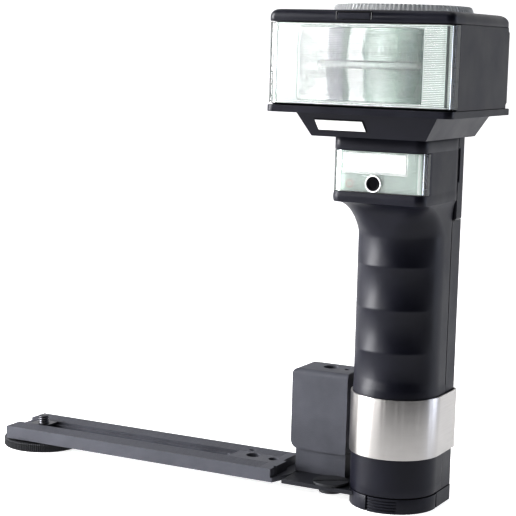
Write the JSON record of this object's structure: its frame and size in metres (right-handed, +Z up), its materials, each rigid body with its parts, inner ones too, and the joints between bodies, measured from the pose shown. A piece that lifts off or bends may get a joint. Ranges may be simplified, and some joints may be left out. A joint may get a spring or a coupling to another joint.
{
  "type": "flash bulb gun",
  "caption": "Handle-mount flash with a tilting, swivelling head, exposure dial, finger-ridged battery grip and slotted camera bracket.",
  "frame": {"origin": "centre of the handle's round front, on the surface the base stands on", "axes": "+Z up along the handle, -Y out of the front of the flash window, bracket bar towards -X"},
  "size_m": [0.2836, 0.0873, 0.2472],
  "materials": {
    "body_plastic": "fine-textured near-black plastic",
    "trim_plastic": "smooth black plastic",
    "clear_lens": "clear ribbed plastic lens",
    "reflector_metal": "bright polished reflector",
    "tube_glass": "frosted glass tube",
    "white_plastic": "white plastic",
    "red_lamp": "red lamp cap",
    "sensor_glass": "dark sensor lens",
    "steel": "circumferentially brushed steel",
    "plated": "plated small metal parts",
    "bracket_paint": "medium grey textured paint",
    "brass_part": "brass terminals",
    "cell_jacket": "printed metal jacket, plain",
    "board": "printed circuit board",
    "capacitor_sleeve": "blue sleeve",
    "ferrite": "wound transformer"
  },
  "bodies": {
    "handle": {"front_shell": "body_plastic", "rear_cover": "body_plastic", "control_housing": "body_plastic", "neck_window": "clear_lens", "aux_reflector": "reflector_metal", "aux_flash_tube": "tube_glass", "sensor_ring": "white_plastic", "sensor_lens": "sensor_glass", "base_ring": "body_plastic", "lid_pin": "plated", "battery_basket": "trim_plastic", "battery_cells": "cell_jacket", "battery_contacts": "brass_part", "main_capacitor": "capacitor_sleeve", "circuit_board": "board", "transformer": "ferrite", "swivel_bush": "trim_plastic", "swivel_ring": "plated", "ready_lamps": "red_lamp", "sync_socket": "plated", "steel_band": "steel", "bracket_post": "bracket_paint", "post_screws": "plated", "bracket_bar": "bracket_paint", "bracket_foot": "bracket_paint", "cover_screws": "plated"},
    "battery_door": {"battery_lid": "body_plastic"},
    "skirt_body": {"skirt": "body_plastic", "badge_plate": "white_plastic", "tilt_pin": "plated"},
    "head": {"head_tray": "body_plastic", "head_casing": "body_plastic", "head_top_cover": "body_plastic", "head_rear_cover": "body_plastic", "head_window": "clear_lens", "main_reflector": "reflector_metal", "flash_tube": "tube_glass", "tube_caps": "trim_plastic", "filter_latch": "trim_plastic", "dial_screw": "plated"},
    "dial": {"calculator_dial": "white_plastic"},
    "mode_knob": {"mode_dial": "trim_plastic"},
    "power_slider": {"main_switch": "trim_plastic"},
    "test_plunger": {"test_button": "white_plastic"},
    "slider": {"screw_carriage": "plated"},
    "camera_screw_body": {"camera_screw_knob": "bracket_paint", "camera_screw_stud": "plated"},
    "lock_body": {"lock_screw": "plated"}
  },
  "joints": [
    {"name": "head_swivel", "type": "hinge", "parent": "handle", "child": "skirt_body", "pos_m": [0, -0.0092, 0.1865], "axis": [0, 0, 1], "range_deg": [-90, 180]},
    {"name": "head_tilt", "type": "hinge", "parent": "skirt_body", "child": "head", "pos_m": [0, 0.0185, 0.1963], "axis": [-1, 0, 0], "range_deg": [0, 90]},
    {"name": "calculator_turn", "type": "hinge", "parent": "head", "child": "dial", "pos_m": [0.0035, -0.0195, 0.2455], "axis": [0, 0, 1], "continuous": true},
    {"name": "mode_turn", "type": "hinge", "parent": "handle", "child": "mode_knob", "pos_m": [0, 0.018, 0.168], "axis": [0, 1, 0], "range_deg": [-120, 120]},
    {"name": "main_switch_slide", "type": "slide", "parent": "handle", "child": "power_slider", "axis": [1, 0, 0], "range_m": [0, 0.008]},
    {"name": "test_button_press", "type": "slide", "parent": "handle", "child": "test_plunger", "axis": [0, -1, 0], "range_m": [0, 0.0012], "stiffness_N_per_m": 300},
    {"name": "battery_door_swing", "type": "hinge", "parent": "handle", "child": "battery_door", "pos_m": [0, 0.0182, 0.0017], "axis": [1, 0, 0], "range_deg": [0, 90]},
    {"name": "camera_screw_slide", "type": "slide", "parent": "handle", "child": "slider", "axis": [1, 0, 0], "range_m": [0, 0.115]},
    {"name": "camera_screw_turn", "type": "hinge", "parent": "slider", "child": "camera_screw_body", "pos_m": [-0.2153, 0, 0.005], "axis": [0, 0, 1], "continuous": true},
    {"name": "lock_screw_turn", "type": "hinge", "parent": "handle", "child": "lock_body", "pos_m": [-0.0306, -0.0095, 0.006], "axis": [0, 0, 1], "continuous": true}
  ]
}
